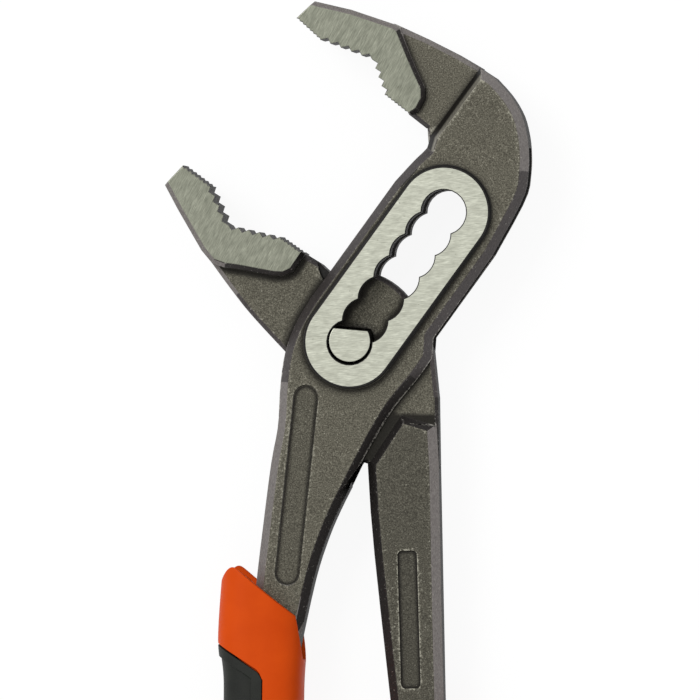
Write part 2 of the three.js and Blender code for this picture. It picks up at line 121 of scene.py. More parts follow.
def node(tree, kind, settings=None, **sockets):
    made = tree.nodes.new(kind)
    for name, value in (settings or {}).items():
        setattr(made, name, value)
    feed(tree, made, **sockets)
    return made


def new_material(name):
    material = bpy.data.materials.new(name)
    material.use_nodes = True
    tree = material.node_tree
    tree.nodes.clear()
    shader = node(tree, "ShaderNodeBsdfPrincipled")
    node(tree, "ShaderNodeOutputMaterial", Surface=shader.outputs["BSDF"])
    return material, tree, shader


print("a middle grey of 128 is", round(linear(128, 128, 128)[0], 3), "in a shader")

# %% [markdown]
# A pattern starts from Object coordinates. They are in metres here, so a pattern's scale is one over
# the size of its grains, and stretched coordinates draw the grains out into streaks. Part of the
# pattern's range is then spread over what a colour or a roughness needs.

# %% Patterns
def axis_of(tree, axis):
    """One of the Object coordinates: X, Y or Z."""
    where = node(tree, "ShaderNodeTexCoord").outputs["Object"]
    return node(tree, "ShaderNodeSeparateXYZ", Vector=where).outputs[axis]


def place_of(tree, turn=0.0, stretch=(1, 1, 1)):
    """Object coordinates, turned about Z and stretched, as the start of a pattern."""
    where = node(tree, "ShaderNodeTexCoord").outputs["Object"]
    texture = {"vector_type": "TEXTURE"}
    made = node(tree, "ShaderNodeMapping", texture, Vector=where, Rotation=(0, 0, turn), Scale=stretch)
    return made.outputs["Vector"]


def noise(tree, vector, grain, detail=2.0, roughness=0.5):
    sockets = {"Vector": vector, "Scale": 1 / grain, "Detail": detail, "Roughness": roughness}
    return node(tree, "ShaderNodeTexNoise", **sockets).outputs["Fac"]


def spread(tree, value, low, high, to_low=0.0, to_high=1.0):
    """Maps low to high of a value onto to_low to to_high, and holds it there outside."""
    limits = {"From_Min": low, "From_Max": high, "To_Min": to_low, "To_Max": to_high}
    return node(tree, "ShaderNodeMapRange", {"clamp": True}, Value=value, **limits).outputs["Result"]


def math_of(tree, operation, first, second=0.0):
    made = node(tree, "ShaderNodeMath", {"operation": operation})
    for socket, value in zip(made.inputs, (first, second)):
        join(tree, value, socket)
    return made.outputs["Value"]


def blend(tree, share, first, second):
    """One colour laid over another by a share from 0 to 1."""
    made = node(tree, "ShaderNodeMix", {"data_type": "RGBA"})
    colours = [socket for socket in made.inputs if socket.type == "RGBA"]
    for socket, value in zip([made.inputs[0], *colours], (share, first, second)):
        join(tree, value, socket)
    return next(socket for socket in made.outputs if socket.type == "RGBA")


def bump(tree, shader, height, depth):
    """Raises and sinks the surface by a pattern, with its depth in metres."""
    made = node(tree, "ShaderNodeBump", Height=height, Distance=depth, Strength=1.0)
    feed(tree, shader, Normal=made.outputs["Normal"])


print("patterns:", [helper.__name__ for helper in (place_of, noise, spread, blend, bump)])

# %% [markdown]
# The table is a plain pale floor. More light would also make it white, but it would bleach the tool.
# Instead, camera rays and mirror-like rays see the floor almost white, while the light that falls on the
# tool stays at a plain level. Part of what the camera sees is still the lit floor, so the tool keeps its
# soft shadow.

# %% Floor
FLOOR_SIZE = 6.0
FLOOR_GREY = (0.86, 0.86, 0.86, 1)
FLOOR_GLOW = 0.88
FLOOR_WHITE = 1.04
FLOOR_GAP = 0.02 * MM


def object_from(bm, name):
    """A new object with the finished bmesh as its mesh."""
    mesh = bpy.data.meshes.new(name)
    bm.to_mesh(mesh)
    bm.free()
    made = bpy.data.objects.new(name, mesh)
    bpy.context.collection.objects.link(made)
    return made


def seen_directly(tree):
    """1 for the rays that should see a white ground: from the camera, a mirror or through glass."""
    path = node(tree, "ShaderNodeLightPath")
    either = math_of(tree, "MAXIMUM", path.outputs["Is Camera Ray"], path.outputs["Is Glossy Ray"])
    return math_of(tree, "MAXIMUM", either, path.outputs["Is Transmission Ray"])


def mix_shaders(tree, share, first, second):
    made = node(tree, "ShaderNodeMixShader", Fac=share)
    for socket, shader in zip(made.inputs[1:], (first, second)):
        join(tree, shader, socket)
    return made.outputs["Shader"]


def make_floor():
    bm = bmesh.new()
    bmesh.ops.create_grid(bm, x_segments=1, y_segments=1, size=FLOOR_SIZE / 2)
    made = object_from(bm, "floor")
    made.location.z = cad_low.z - FLOOR_GAP
    material, tree, shader = new_material("pale_floor")
    feed(tree, shader, Base_Color=FLOOR_GREY, Roughness=0.9, Specular_IOR_Level=0.1)
    glow = node(tree, "ShaderNodeEmission", Strength=FLOOR_WHITE)
    share = math_of(tree, "MULTIPLY", seen_directly(tree), FLOOR_GLOW)
    mixed = mix_shaders(tree, share, shader.outputs["BSDF"], glow.outputs["Emission"])
    output = next(part for part in tree.nodes if part.type == "OUTPUT_MATERIAL")
    feed(tree, output, Surface=mixed)
    made.data.materials.append(material)
    return made


floor = make_floor()
print("floor at", round(floor.location.z / MM, 3), "mm")

# %% [markdown]
# The light is an even white sky with one soft box to the upper left. Several lamps could do the work of
# the sky, but a tool this flat shows its slopes best under one light from the side. The same rays that
# see a white floor see a white sky, so bright steel has something bright to mirror.

# %% Sky and lamp
SKY_LEVEL = 0.62
WHITE = (1, 1, 1, 1)
LAMP_PLACE = (-0.55, 0.45, 0.9)
LAMP_SIZE = 0.5
LAMP_WATTS = 6.0


def make_sky():
    world = bpy.data.worlds.new("studio")
    bpy.context.scene.world = world
    world.use_nodes = True
    tree = world.node_tree
    tree.nodes.clear()
    dim = node(tree, "ShaderNodeBackground", Color=WHITE, Strength=SKY_LEVEL)
    white = node(tree, "ShaderNodeBackground", Color=WHITE, Strength=1.0)
    backgrounds = [made.outputs["Background"] for made in (dim, white)]
    node(tree, "ShaderNodeOutputWorld", Surface=mix_shaders(tree, seen_directly(tree), *backgrounds))


def soft_box(name, place, size, watts):
    data = bpy.data.lights.new(name, "AREA")
    data.shape = "SQUARE"
    data.size = size
    data.energy = watts
    lamp = bpy.data.objects.new(name, data)
    lamp.location = place
    lamp.rotation_euler = (-Vector(place)).to_track_quat("-Z", "Y").to_euler()
    bpy.context.collection.objects.link(lamp)


make_sky()
soft_box("key_light", LAMP_PLACE, LAMP_SIZE, LAMP_WATTS)
bpy.context.scene.view_settings.view_transform = "Standard"
print("lamp at", round(Vector(LAMP_PLACE).length, 2), "m from the pivot")

# %% [markdown]
# The levers are drop forged, blasted dark and left that way, so their faces are olive grey with a fine
# salt-and-pepper grain. Corners are rubbed bright in specks, and the inner corners get painted shade. Both
# could be painted on by hand, but the Ambient Occlusion node finds them: from outside it sees the inner
# corners, and from inside the metal it sees the outward ones. Noise then breaks the bright corners up.
# The bar, the two sunk panels and the tongue have the same finish in other tones. On the tongue other
# pieces count as corners for the painted shade, and the nook between the bar and the box is filled with
# painted shade.

# %% Blasted forging
GRAIN = 0.24 * MM
MOTTLE = 0.9 * MM
CLOUD = 9.0 * MM
SPECK = 0.45 * MM
GRAIN_DEPTH = 0.05 * MM
FORGING_RUB = 1.4 * MM
NOOK_FADE = 2.0 * MM
NOOK_SHADE = 0.7


def corner_mask(tree, reach, inside, alone=True):
    """From 0 on open ground to 1 in a corner: inner corners, or outward ones when seen from inside."""
    settings = {"inside": inside, "only_local": alone, "samples": 8}
    made = node(tree, "ShaderNodeAmbientOcclusion", settings, Distance=reach)
    return math_of(tree, "SUBTRACT", 1.0, made.outputs["AO"])


def rubbed_and_shaded(tree, base, bright, painted_shade, rub, groove):
    """A forged colour with specks for rub from outward corners, and painted shade where a groove value is
    high.
    """
    edge = spread(tree, corner_mask(tree, rub, True), 0.04, 0.34)
    speck = noise(tree, place_of(tree), SPECK, 2.0, 0.6)
    level = math_of(tree, "ADD", speck, math_of(tree, "MULTIPLY", edge, 0.27))
    base = blend(tree, spread(tree, level, 0.66, 0.8, 0.0, 0.75), base, bright)
    return blend(tree, spread(tree, groove, 0.08, 0.32, 0.0, 0.94), base, painted_shade)


def blasted_forging(name, tone, reach=2.0 * MM, painted_shade=1.0, alone=True, nook=None):
    """The forged finish, lighter or darker by a tone, with painted shade for reach from its inner corners.

    A shallow corner needs more painted shade. When the finish is not alone, other pieces over it count as
    corners.
    Below a nook, given by its place along the tool, painted shade lies between the corners too.
    """
    def shade(red, green, blue):
        return linear(red * tone, green * tone, blue * tone)

    material, tree, shader = new_material(name)
    where = place_of(tree)
    grain = noise(tree, where, GRAIN, 2.0, 0.75)
    mottle = noise(tree, where, MOTTLE, 2.0, 0.6)
    cloud = noise(tree, where, CLOUD, 3.0, 0.6)
    base = blend(tree, spread(tree, cloud, 0.3, 0.7), shade(88, 85, 74), shade(102, 99, 87))
    base = blend(tree, spread(tree, mottle, 0.35, 0.7, 0.0, 0.4), base, shade(76, 74, 63))
    base = blend(tree, spread(tree, grain, 0.5, 0.34, 0.0, 0.8), base, shade(46, 44, 37))
    base = blend(tree, spread(tree, grain, 0.54, 0.68, 0.0, 0.75), base, shade(140, 137, 123))
    # Painted shade in the inner corners; when the finish is not alone, other pieces over it count as corners
    # too.
    groove = math_of(tree, "MULTIPLY", corner_mask(tree, reach, False, alone), painted_shade)
    # Below the nook, painted shade is laid between the corners too.
    if nook is not None:
        nook_shade = spread(tree, axis_of(tree, "Y"), nook - NOOK_FADE, nook, NOOK_SHADE, 0.0)
        groove = math_of(tree, "ADD", groove, nook_shade)
    base = rubbed_and_shaded(tree, base, linear(178, 175, 160), linear(27, 25, 21), FORGING_RUB, groove)
    rough = spread(tree, cloud, 0.3, 0.7, 0.56, 0.68)
    feed(tree, shader, Base_Color=base, Metallic=0.75, Roughness=rough)
    bump(tree, shader, grain, GRAIN_DEPTH)
    return material


FORGING = blasted_forging("blasted_forging", 1.0)
BAR_FORGING = blasted_forging("blasted_bar", 0.85)
# The sunk panels get stronger painted shade along their shallow edges; the tongue gets it from the pieces
# over it and below the nook.
POCKET = blasted_forging("blasted_pocket", 0.92, 0.9 * MM, painted_shade=2.5)
RECESS = blasted_forging("blasted_recess", 0.78, 0.9 * MM, painted_shade=3.0)
TONGUE = blasted_forging("blasted_tongue", 0.98, 1.7 * MM, painted_shade=1.8, alone=False, nook=-13.5 * MM)
print("made", FORGING.name, BAR_FORGING.name, POCKET.name, RECESS.name, TONGUE.name)

# %% [markdown]
# Along the forging's edges the trimming die leaves a smoother sloping band. On the outer sides it has
# been dressed to a cool, purplish grey, round the box it is darker as painted shade, and on the inner sides
# it stays black with scale. One material with a mask could hold all of these, but every band has faces of
# its own, so each kind is a small material made by one function. The step down to the upper neck is light
# along its top and has painted shade at its foot, which a value from the height over the mid-plane gives. At
# the jaws' feet the same black as on the inner sides is painted shade.

# %% Trimmed bands
BAND_RUB = 0.6 * MM
BAND_SHADE_REACH = 2.0 * MM
FOOT_FADE = 0.6 * MM
STEP_FOOT = 6.2 * MM


def low_share(tree, low, high):
    """1 where the surface is nearer to the mid-plane than low, fading to 0 at high."""
    height = math_of(tree, "ABSOLUTE", math_of(tree, "SUBTRACT", axis_of(tree, "Z"), MID_PLANE))
    return spread(tree, height, low, high, 1.0, 0.0)


def trimmed_band(name, dark, light, metallic, foot=None):
    """A band from a dark to a light colour, with painted shade up to its foot's height where one is given.
    """
    material, tree, shader = new_material(name)
    streak = noise(tree, place_of(tree, stretch=(0.25, 1, 1)), 0.5 * MM, 2.0)
    grain = noise(tree, place_of(tree), 0.28 * MM, 2.0)
    base = blend(tree, spread(tree, streak, 0.3, 0.7), dark, light)
    base = blend(tree, spread(tree, grain, 0.6, 0.75, 0.0, 0.5), base, linear(60, 57, 57))
    # The inner corners of a band get painted shade.
    groove = corner_mask(tree, BAND_SHADE_REACH, False)
    base = rubbed_and_shaded(tree, base, linear(182, 178, 170), linear(24, 22, 21), BAND_RUB, groove)
    # Below its foot's height the band gets painted shade.
    if foot is not None:
        base = blend(tree, low_share(tree, foot, foot + FOOT_FADE), base, linear(24, 22, 20))
    feed(tree, shader, Base_Color=base, Metallic=metallic, Roughness=0.5)
    bump(tree, shader, grain, 0.025 * MM)
    return material


DRESSED = trimmed_band("dressed_band", linear(104, 99, 97), linear(134, 129, 126), 0.8)
STEP = trimmed_band("step_band", linear(116, 113, 104), linear(148, 145, 134), 0.8, foot=STEP_FOOT)
# Round the box the band is darker as painted shade.
SHADED_BAND = trimmed_band("shaded_band", linear(58, 54, 54), linear(82, 77, 76), 0.7)
# Black: scale on the inner sides, painted shade at the jaws' feet.
SCALE_AND_SHADE = trimmed_band("scale_and_shade_band", linear(30, 27, 26), linear(46, 42, 40), 0.6)
print("made", DRESSED.name, STEP.name, SHADED_BAND.name, SCALE_AND_SHADE.name)

# %% [markdown]
# The upright walls of the slot, the window and the edges keep their forging scale and lie in shade, so
# they are nearly black. Shadow alone would not make them that dark under an even sky, so the colour does.

# %% Dark walls
def dark_wall():
    material, tree, shader = new_material("dark_wall")
    grain = noise(tree, place_of(tree), 0.4 * MM, 3.0)
    base = blend(tree, spread(tree, grain, 0.35, 0.7), linear(18, 17, 16), linear(36, 34, 32))
    feed(tree, shader, Base_Color=base, Metallic=0.5, Roughness=0.65)
    bump(tree, shader, grain, 0.03 * MM)
    return material


WALL = dark_wall()
print("made", WALL.name)

# %% [markdown]
# The rim round the slot, the jaws' sides and the pivot's ends are ground bright. Grinding leaves fine
# lines in one direction. An anisotropic shader would give their sheen but no lines to see, so the noise
# is stretched along them: short ones for the grain and long faint ones for scratches. The rim's lines run
# nearly level and the jaws' lines run up to the right, so the finish takes its direction as a value. A
# few dark pits are left from the forging.

# %% Ground steel
LINE_STRETCH = (13, 1, 1)
SCRATCH_STRETCH = (40, 1, 1)
SCRATCH_TURN = math.radians(3)
RIM_LINES = math.radians(4)
JAW_LINES = math.radians(62)


def ground_steel(name, turn, dark, bright):
    material, tree, shader = new_material(name)
    line = noise(tree, place_of(tree, turn, LINE_STRETCH), 0.13 * MM, 2.0, 0.7)
    scratch = noise(tree, place_of(tree, turn + SCRATCH_TURN, SCRATCH_STRETCH), 0.15 * MM, 1.0)
    blotch = noise(tree, place_of(tree, turn, (2.5, 1, 1)), 1.1 * MM, 3.0, 0.6)
    pit = noise(tree, place_of(tree, turn, (2, 1, 1)), 0.6 * MM, 1.0)
    base = blend(tree, spread(tree, line, 0.28, 0.72), dark, bright)
    base = blend(tree, spread(tree, blotch, 0.38, 0.68, 0.0, 0.5), base, dark)
    base = blend(tree, spread(tree, scratch, 0.66, 0.8, 0.0, 0.4), base, bright)
    base = blend(tree, spread(tree, pit, 0.77, 0.82, 0.0, 0.7), base, linear(90, 88, 78))
    rough = spread(tree, line, 0.3, 0.7, 0.34, 0.46)
    feed(tree, shader, Base_Color=base, Metallic=1.0, Roughness=rough)
    bump(tree, shader, line, 0.006 * MM)
    return material


RIM_STEEL = ground_steel("ground_rim", RIM_LINES, linear(154, 155, 142), linear(206, 208, 193))
JAW_STEEL = ground_steel("ground_jaw", JAW_LINES, linear(107, 109, 97), linear(154, 156, 141))
print("made", RIM_STEEL.name, "and", JAW_STEEL.name)

# %% [markdown]
# The grips are two mouldings: a satin orange sleeve and a dark soft pad let into its outer side. A plain
# colour would look like paint. Both get a faint cloudiness and a very fine skin instead, because a moulded
# surface is never quite even.

# %% Moulded grips
def sleeve_plastic():
    material, tree, shader = new_material("orange_sleeve")
    cloud = noise(tree, place_of(tree), 6.0 * MM, 3.0)
    skin = noise(tree, place_of(tree), 0.5 * MM, 2.0)
    base = blend(tree, spread(tree, cloud, 0.3, 0.7), linear(206, 70, 3), linear(214, 76, 6))
    rough = spread(tree, cloud, 0.3, 0.7, 0.46, 0.56)
    feed(tree, shader, Base_Color=base, Roughness=rough, Specular_IOR_Level=0.1)
    bump(tree, shader, skin, 0.012 * MM)
    return material


def pad_rubber():
    material, tree, shader = new_material("grey_pad")
    cloud = noise(tree, place_of(tree), 4.0 * MM, 3.0)
    skin = noise(tree, place_of(tree), 0.35 * MM, 2.0)
    base = blend(tree, spread(tree, cloud, 0.3, 0.7), linear(30, 32, 29), linear(38, 40, 36))
    feed(tree, shader, Base_Color=base, Roughness=0.58, Specular_IOR_Level=0.18)
    bump(tree, shader, skin, 0.03 * MM)
    return material


ORANGE = sleeve_plastic()
GREY = pad_rubber()
print("made", ORANGE.name, "and", GREY.name)

# %% [markdown]
# Each lever starts as a copy of its solid. The copy's loose triangles are merged and its flat faces
# joined, and then its sharp edges are rounded with a bevel of two segments, because no forged or ground
# edge is a perfect corner. A Bevel modifier that goes by angle would round the teeth too. With the operator
# the edges can be picked: one between two upright walls is left alone, and so is one that ends where edges
# are shorter than the bevel needs. Weighted normals then keep the large faces flat to the eye.

# %% Rounded copies of the solids
SHARP = math.radians(24)
FLAT = math.radians(0.6)
UPRIGHT = 0.3
MERGED_WITHIN = 0.03 * MM
SLIVER = 0.02 * MM
SHORTEST_EDGE = 1.5


def is_rounded(edge, shortest):
    if len(edge.link_faces) != 2 or edge.calc_face_angle() < SHARP:
        return False
    if any(near.calc_length() < shortest for vert in edge.verts for near in vert.link_edges):
        return False
    return any(abs(face.normal.z) > UPRIGHT for face in edge.link_faces)


def round_edges(bm, edges, width, segments, clamp):
    return bmesh.ops.bevel(
        bm,
        geom=edges,
        affect="EDGES",
        offset=width,
        offset_type="OFFSET",
        segments=segments,
        profile=0.5,
        material=-1,
        clamp_overlap=clamp,
    )


def rounded_copy(source, name, width):
    bm = bmesh.new()
    bm.from_mesh(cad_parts[source].data)
    bmesh.ops.remove_doubles(bm, verts=bm.verts, dist=MERGED_WITHIN)
    bmesh.ops.dissolve_degenerate(bm, dist=SLIVER, edges=bm.edges)
    bmesh.ops.dissolve_limit(bm, angle_limit=FLAT, verts=bm.verts, edges=bm.edges)
    sharp = [edge for edge in bm.edges if is_rounded(edge, SHORTEST_EDGE * width)]
    strips = round_edges(bm, sharp, width, segments=2, clamp=False)["faces"]
    widths = sorted(face.calc_area() / max(edge.calc_length() for edge in face.edges) for face in strips)
    for face in bm.faces:
        face.smooth = True
    bm.normal_update()
    print(name, "edges rounded:", len(sharp), "faces:", len(bm.faces))
    print("middle width of a bevel strip in mm:", round(widths[len(widths) // 2] / MM, 3))
    piece = object_from(bm, name)
    even = piece.modifiers.new("even_normals", "WEIGHTED_NORMAL")
    even.keep_sharp = True
    return piece


def finish_faces(piece, materials, choose):
    """Gives each face the material that a rule picks from its centre and normal."""
    for material in materials:
        piece.data.materials.append(material)
    for face in piece.data.polygons:
        face.material_index = materials.index(choose(face.center, face.normal))
    print(piece.name, "finishes:", [material.name for material in materials])


print("edges are rounded from", round(math.degrees(SHARP)), "degrees up")

# %% [markdown]
# A lever's faces get their finishes by rule, because a rounded copy has too many faces to name each one.
# The rules go by height over the mid-plane, by place across and along the tool, and by the way that a face
# looks. Level faces are ground at the height of the rim and of the jaws. Elsewhere they are forged, with
# tones of their own on the bar, in the sunk panels and on the tongue. Heights are in metres, and places
# are in millimetres from the pivot.

# %% Finishes of the level faces
NEAR = 0.15 * MM
CHEEK_HALF = 6.5 * MM
JAW_HALF = 6.0 * MM
BAR_HALF = 5.1 * MM
PANEL_HALF = 4.5 * MM
WINDOW_HALF = 3.75 * MM
TONGUE_HALF = 3.4 * MM
RELIEF_HALF = 2.6 * MM
JAWS_FROM = 9
BAR_TOP = -17
RECESS_FOOT, RECESS_TOP = -68, -38
POCKET_RIGHT, POCKET_TOP = -5, -15
POCKET_MARGIN = 0.25 * MM
CHEEK_TAPER = 0.028 * MM / CHEEK_HALF


def is_at(height, half):
    return abs(height - half) < NEAR


def level_finish(x, y, height):
    """The finish of a level face, by its place in millimetres and its height over the mid-plane."""
    if height > HALF_THICKNESS - NEAR:
        return RIM_STEEL
    if is_at(height, JAW_HALF) and y > JAWS_FROM:
        return JAW_STEEL
    # The sunk relief and the window lie in shade; their dark wall colour is painted shade.
    if is_at(height, RELIEF_HALF) or is_at(height, WINDOW_HALF):
        return WALL
    if is_at(height, TONGUE_HALF):
        return TONGUE
    if x > 0 and y < BAR_TOP and height < BAR_HALF + NEAR:
        return RECESS if RECESS_FOOT < y < RECESS_TOP and height < PANEL_HALF else BAR_FORGING
    pocket_half = (CHEEK_HALF - POCKET_MARGIN) * (1 + CHEEK_TAPER * y)
    return POCKET if x < POCKET_RIGHT and y < POCKET_TOP and height < pocket_half else FORGING


print("the jaws lie", round((HALF_THICKNESS - JAW_HALF) / MM, 2), "mm under the rim")

# %% [markdown]
# Sloping faces are bands: dressed along the outer sides of the handles, round the head and along the jaws'
# backs, darker round the box as painted shade, black at the jaws' feet as painted shade, and black with
# scale along the inner sides. A normal whose X or Y is past a small value tells the two sides of one stretch
# apart.

# %% Finishes of the bands
HANDLES_FROM = -8
SLOTTED_OUTER = -10
THROUGH_OUTER, THROUGH_TOP = 12, -20
STEP_LEFT, STEP_LOW, STEP_HIGH = 12, 38, 54
JAW_BACK_LOW = 50
HEAD_LEFT, HEAD_LOW = 24, 32
LOWER_JAW_OUTER = -22
UPPER_FOOT_RIGHT, UPPER_FOOT_LOW = 16, 40
LOWER_FOOT_RIGHT, LOWER_FOOT_HIGH = -8, 20


def band_finish(x, y, normal):
    """The finish of a sloping band, by its place in millimetres and the way that it faces."""
    if y < HANDLES_FROM:
        is_outer = x < SLOTTED_OUTER or (x > THROUGH_OUTER and y < THROUGH_TOP)
        return DRESSED if is_outer else SCALE_AND_SHADE
    if x > STEP_LEFT and STEP_LOW < y < STEP_HIGH and normal.x < 0 < normal.y:
        return STEP
    is_jaw_back = y > JAW_BACK_LOW and normal.y > 0.3 or x < LOWER_JAW_OUTER and normal.x < -0.2
    is_head = x > HEAD_LEFT and y > HEAD_LOW and normal.x > 0.1
    if is_jaw_back or is_head:
        return DRESSED
    # The jaws' feet face away from the lamp, so their black band is painted shade.
    is_upper_foot = x < UPPER_FOOT_RIGHT and y > UPPER_FOOT_LOW and normal.x > 0.1
    is_lower_foot = x < LOWER_FOOT_RIGHT and y < LOWER_FOOT_HIGH and normal.x > -0.2
    return SCALE_AND_SHADE if is_upper_foot or is_lower_foot else SHADED_BAND


print("bands are dressed from", HEAD_LOW, "mm up the head")

# %% [markdown]
# Both levers are now copied, rounded and finished. Steep faces get the dark wall colour whatever their
# place, and so do the rounded edge of the rim and the hollows round the pivot: there the dark colour is
# painted shade, where a bright band would hide the gap.

# %% Forged levers
LEVEL = 0.9
STEEP = 0.22
DEAD_LEVEL = 0.99
SLOT_ANGLE = math.radians(54)
SLOT_WAY = Vector((math.cos(SLOT_ANGLE), math.sin(SLOT_ANGLE)))
SLOT_LENGTH = 30.9
RIM_REACH = 9.4
PIVOT_REACH = 4.7
FORGED_EDGE = 0.2 * MM


def forged_finish(centre, normal):
    x, y = centre.x / MM, centre.y / MM
    height = abs(centre.z - MID_PLANE)
    upright = abs(normal.z)
    spot = Vector((x, y))
    from_slot = spot - SLOT_WAY * min(max(spot.dot(SLOT_WAY), 0.0), SLOT_LENGTH)
    on_rim = from_slot.length < RIM_REACH and height > CHEEK_HALF + NEAR and upright < DEAD_LEVEL
    by_pivot = math.hypot(x, y) < PIVOT_REACH and upright < LEVEL
    if upright < STEEP or on_rim or by_pivot:
        return WALL
    return level_finish(x, y, height) if upright > LEVEL else band_finish(x, y, normal)


LEVER_FINISHES = [
    FORGING, BAR_FORGING, POCKET, RECESS, TONGUE, DRESSED, STEP, SHADED_BAND, SCALE_AND_SHADE, WALL, RIM_STEEL, JAW_STEEL
]
for lever in ("slotted_lever", "through_lever"):
    forging = rounded_copy(lever, lever + "_forging", FORGED_EDGE)
    finish_faces(forging, LEVER_FINISHES, forged_finish)
    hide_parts(lever)
    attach(forging, lever)

# %% [markdown]
# The pivot shows as a bright D in the slot. A cylinder cut by a plane would do for each of its two keys,
# but rounded copies keep the measured gap in the notches. They are ground on their ends like the rim, and
# dark on their sides. The round shank between them is hidden in the tongue and only gets a dark finish.

# %% Pivot keys
KEY_EDGE = 0.18 * MM
KEY_END = 0.5


def key_finish(centre, normal):
    return RIM_STEEL if abs(normal.z) > KEY_END else WALL


for key in ("front_pivot_key", "rear_pivot_key"):
    pin_end = rounded_copy(key, key + "_ground", KEY_EDGE)
    finish_faces(pin_end, [RIM_STEEL, WALL], key_finish)
    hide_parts(key)
    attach(pin_end, "through_lever")

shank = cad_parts["pivot_shank"]
shank.data.materials.clear()
shank.data.materials.append(WALL)

# %% [markdown]
# A grip swells and narrows along its length. Its centre line and its half width come from a few stations
# through which a smooth curve runs, and its section is a squarish oval whose points are spaced evenly along
# the outline. A subdivided cage would give a like form, but sleeve and pad have to share one skin exactly,
# and a formula gives the same skin to both. All lengths are in millimetres in the grip's own frame, with
# its outer side towards -X.

# %% Section and waist of a grip
STATION_Y = (6.0, -8.5, -18.0, -35.0, -59.4, -86.4, -108.0)
STATION_X = (-4.6, -4.8, -4.7, -5.2, -7.2, -8.2, -8.0)
STATION_HALF = (7.7, 8.5, 7.9, 8.1, 8.7, 8.7, 8.1)
STATION_STEPS = 300
SQUARENESS = 3.0
OVAL_STEPS = 720
FINE_STEPS = 1440


def through_stations(values, share):
    """A smooth curve through a few values, at a share of the way from the first to the last."""
    last = len(values) - 1
    index = min(int(share * last), last - 1)
    t = share * last - index
    before, here = values[max(index - 1, 0)], values[index]
    there, after = values[index + 1], values[min(index + 2, last)]
    leave, arrive = (there - before) / 2, (after - here) / 2
    cubic = 2 * here - 2 * there + leave + arrive
    square = -3 * here + 3 * there - 2 * leave - arrive
    return ((cubic * t + square) * t + leave) * t + here


def oval_points(count):
    """An even outline of the squarish oval, from its inner side round by the front to the inner side."""
    power = 2 / SQUARENESS
    fine = []
    for step in range(FINE_STEPS + 1):
        angle = math.radians(360 * step / FINE_STEPS)
        x, z = math.cos(angle), math.sin(angle)
        fine.append(Vector((math.copysign(abs(x) ** power, x), 0, math.copysign(abs(z) ** power, z))))
    run = [0.0]
    for before, after in zip(fine, fine[1:]):
        run.append(run[-1] + (after - before).length)
    points, at = [], 0
    for step in range(count + 1):
        while at < len(run) - 2 and run[at + 1] < run[-1] * step / count:
            at += 1
        share = (run[-1] * step / count - run[at]) / (run[at + 1] - run[at])
        points.append(fine[at].lerp(fine[at + 1], share))
    return points


STATIONS = [
    tuple(through_stations(values, step / STATION_STEPS) for values in (STATION_Y, STATION_X, STATION_HALF))
    for step in range(STATION_STEPS + 1)
]
OVAL = oval_points(OVAL_STEPS)


def waist(y):
    """Centre and half width of the grip at a distance along it."""
    for (y0, x0, half0), (y1, x1, half1) in zip(STATIONS, STATIONS[1:]):
        if y >= y1:
            share = (y0 - y) / (y0 - y1)
            return x0 + (x1 - x0) * share, half0 + (half1 - half0) * share
    return STATIONS[-1][1:]


print("width of a grip at its mouth in mm:", round(2 * waist(0)[1], 1))

# %% [markdown]
# A point of the skin is found from two shares: how far round the section it lies, and how far along the
# grip from the mouth to the end. The mouth slants. Its outer end curls down in a lip, and on the inner side
# it drops to a heel. The pad's upper corners are rounded by moving the skin's rows there, and the end
# closes in a blunt tip.

# %% Skin of a grip
GRIP_END = STATION_Y[-1]
MOUTH_Y = -2.9
MOUTH_SLANT = -0.8
LIP_FROM, LIP_CURVE, LIP_FADE = -9.6, 0.5, 0.08
HEEL_FROM, HEEL_RUN, HEEL_DROP, HEEL_FADE = 2.0, 1.25, 7.4, 0.2
TIP_START = -95.5
TIP_BLUNTNESS = 2.4
TIP_THICKNESS = 0.6
PAD_TOP = 0.148
PAD_FOOT = 0.868
PAD_SPLIT = 0.24
CORNER_WIDTH, CORNER_DROP, CORNER_FADE = 0.022, 0.012, 0.05


def held(share):
    return min(1.0, max(0.0, share))


def fading(value, reach):
    return max(0.0, 1 - abs(value) / reach)


def grip_point(around, along, sink=0.0):
    """The point at two shares round and along the skin, or sunk under it by a depth."""
    oval = OVAL[round(around * OVAL_STEPS)]
    near_split = min(abs(around - PAD_SPLIT), abs(1 - around - PAD_SPLIT))
    along += CORNER_DROP * fading(near_split, CORNER_WIDTH) ** 2 * fading(along - PAD_TOP, CORNER_FADE)
    mouth_centre, mouth_half = waist(0)
    x = mouth_centre + mouth_half * oval.x
    line = MOUTH_Y + MOUTH_SLANT * x
    y = line + along * (GRIP_END - line)
    y -= LIP_CURVE * max(0.0, LIP_FROM - x) ** 2 * fading(along, LIP_FADE)
    y -= HEEL_DROP * held((x - HEEL_FROM) / HEEL_RUN) * fading(along, HEEL_FADE)
    centre, half = waist(y)
    tip = held((TIP_START - y) / (TIP_START - GRIP_END))
    closing = (1 - tip**TIP_BLUNTNESS) ** (1 / TIP_BLUNTNESS)
    thick = (HALF_THICKNESS / MM - sink) * closing**TIP_THICKNESS
    return Vector((centre + oval.x * (half - sink) * closing, y, oval.z * thick)) * MM


print("length of a grip's outer side in mm:", round(grip_point(0.5, 0).y / MM - GRIP_END, 1))

# %% [markdown]
# The sleeve is a grid laid round the skin, with rows that follow the slanting mouth. A boolean could cut the
# hollow for the pad, but it leaves ragged faces. Instead the grid sinks there, and two close rows or columns
# make each wall of the hollow. The open end is then extruded inwards to the bar and down beside it, and its
# outer edge is rounded.

